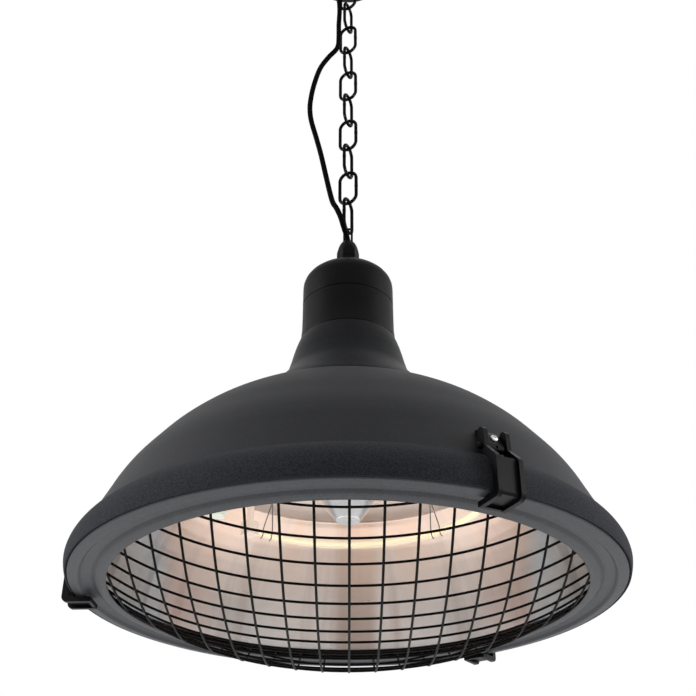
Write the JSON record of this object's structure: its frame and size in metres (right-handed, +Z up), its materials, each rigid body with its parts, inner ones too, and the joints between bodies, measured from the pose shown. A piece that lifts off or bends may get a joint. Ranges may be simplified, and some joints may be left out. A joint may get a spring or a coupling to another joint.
{
  "type": "hanging patio heater",
  "caption": "Electric patio heater that hangs on a chain: domed shade with a necked top, latched frame ring, domed wire grille, reflector and ring lamp.",
  "frame": {"origin": "middle of the ceiling plate's top face, where it meets the ceiling", "axes": "+Z up, along the hanging axis; -Y towards the viewer of the picture"},
  "size_m": [0.5879, 0.58, 1.0663],
  "materials": {
    "black_powder_coat": "fine textured matt powder coat, near black",
    "frame_powder_coat": "fine textured satin powder coat, dark grey",
    "gland_black": "moulded black nylon, satin",
    "chain_black": "black lacquered steel wire",
    "cord_black": "black rubber sheath, matt",
    "zinc_plate": "bright zinc plate",
    "bright_aluminium": "spun bright aluminium, faint circular marks",
    "lamp_glass": "clear quartz tube, lit from inside",
    "hot_element": "glowing wire coil",
    "ceramic": "matt white ceramic",
    "spring_steel": "bare spring wire",
    "gasket_silicone": "dark grey silicone"
  },
  "bodies": {
    "ceiling": {"ceiling_plate": "zinc_plate", "canopy_cup": "black_powder_coat", "canopy_nut": "black_powder_coat", "ceiling_hook": "black_powder_coat", "cord_grip": "gland_black"},
    "chain": {"chain_link_01": "chain_black", "chain_link_02": "chain_black", "chain_link_03": "chain_black", "chain_link_04": "chain_black", "chain_link_05": "chain_black", "chain_link_06": "chain_black", "chain_link_07": "chain_black", "chain_link_08": "chain_black", "chain_link_09": "chain_black", "chain_link_10": "chain_black", "cord_upper": "cord_black"},
    "heater": {"cord_lower": "cord_black", "frame_gasket": "gasket_silicone", "frame_ring": "frame_powder_coat", "gland_body": "gland_black", "gland_lock_nut": "gland_black", "gland_nut": "gland_black", "grille_mesh": "frame_powder_coat", "heat_shield": "bright_aluminium", "lamp_clip_1": "spring_steel", "lamp_clip_2": "spring_steel", "lamp_clip_3": "spring_steel", "lamp_clip_4": "spring_steel", "lamp_end_1": "ceramic", "lamp_end_2": "ceramic", "lamp_filament": "hot_element", "lamp_lead_1": "ceramic", "lamp_lead_2": "ceramic", "latch_bracket_1": "black_powder_coat", "latch_bracket_2": "black_powder_coat", "latch_bracket_3": "black_powder_coat", "latch_pin_1": "gland_black", "latch_pin_2": "gland_black", "latch_pin_3": "gland_black", "latch_screw_1": "zinc_plate", "latch_screw_2": "zinc_plate", "latch_screw_3": "zinc_plate", "main_shade": "black_powder_coat", "neck_cap": "black_powder_coat", "neck_collar": "black_powder_coat", "neck_ring_nut": "zinc_plate", "neck_skirt": "black_powder_coat", "reflector": "bright_aluminium", "ring_lamp": "lamp_glass", "seat_ring": "black_powder_coat", "shield_spacer_1": "zinc_plate", "shield_spacer_2": "zinc_plate", "shield_spacer_3": "zinc_plate", "supply_lead": "cord_black", "suspension_loop": "gland_black", "terminal_block": "ceramic", "terminal_bracket": "zinc_plate"},
    "latch_1": {"latch_lever_1": "black_powder_coat"},
    "latch_2": {"latch_lever_2": "black_powder_coat"},
    "latch_3": {"latch_lever_3": "black_powder_coat"}
  },
  "joints": [
    {"name": "chain_swing", "type": "hinge", "parent": "ceiling", "child": "chain", "pos_m": [0, 0, -0.06285], "axis": [-0.4226, -0.9063, 0], "range_deg": [-20, 20], "deforming": ["cord_upper"]},
    {"name": "heater_tilt", "type": "hinge", "parent": "chain", "child": "heater", "pos_m": [0, 0, -0.52665], "axis": [0.9063, -0.4226, 0], "range_deg": [-20, 20], "deforming": ["cord_lower"]},
    {"name": "latch_1_hinge", "type": "hinge", "parent": "heater", "child": "latch_1", "pos_m": [0.12576, -0.24681, -0.9605], "axis": [-0.891, -0.454, 0], "range_deg": [0, 25]},
    {"name": "latch_2_hinge", "type": "hinge", "parent": "heater", "child": "latch_2", "pos_m": [-0.27662, 0.0145, -0.9605], "axis": [0.0523, 0.9986, 0], "range_deg": [0, 25]},
    {"name": "latch_3_hinge", "type": "hinge", "parent": "heater", "child": "latch_3", "pos_m": [0.15888, 0.2269, -0.9605], "axis": [0.8192, -0.5736, 0], "range_deg": [0, 25]}
  ]
}
